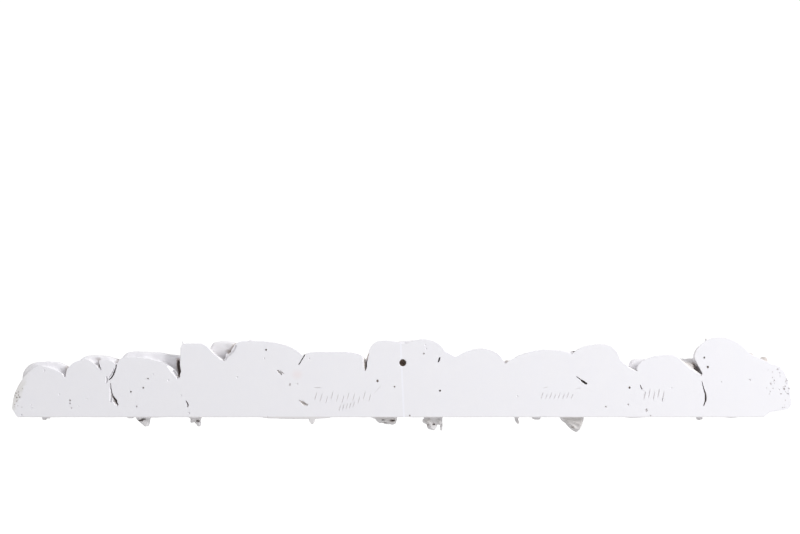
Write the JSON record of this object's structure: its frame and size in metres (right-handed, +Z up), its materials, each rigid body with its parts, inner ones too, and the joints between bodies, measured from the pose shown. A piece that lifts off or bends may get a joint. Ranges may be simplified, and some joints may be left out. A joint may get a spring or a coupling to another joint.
{
  "type": "plaster frieze section",
  "caption": "Long cast plaster frieze section with a flat back, a lobed cloud-like top edge, a straight lower edge and a swelling relief front.",
  "frame": {"origin": "middle of the flat back, at half the length and half the height of the flat face", "axes": "+X along the length, to the right as the flat back is seen; +Z up; -Y out of the flat back towards the wall, with the relief at +Y"},
  "size_m": [0.975, 0.064, 0.1212],
  "materials": {
    "plaster": "matt white gypsum plaster, scraped flat at the back, with open air-bubble pits",
    "bronzed_steel": "dark bronzed steel screw, lightly worn"
  },
  "bodies": {
    "root": {"plaster_frieze": "plaster", "fixing_screw": "bronzed_steel"}
  },
  "joints": []
}
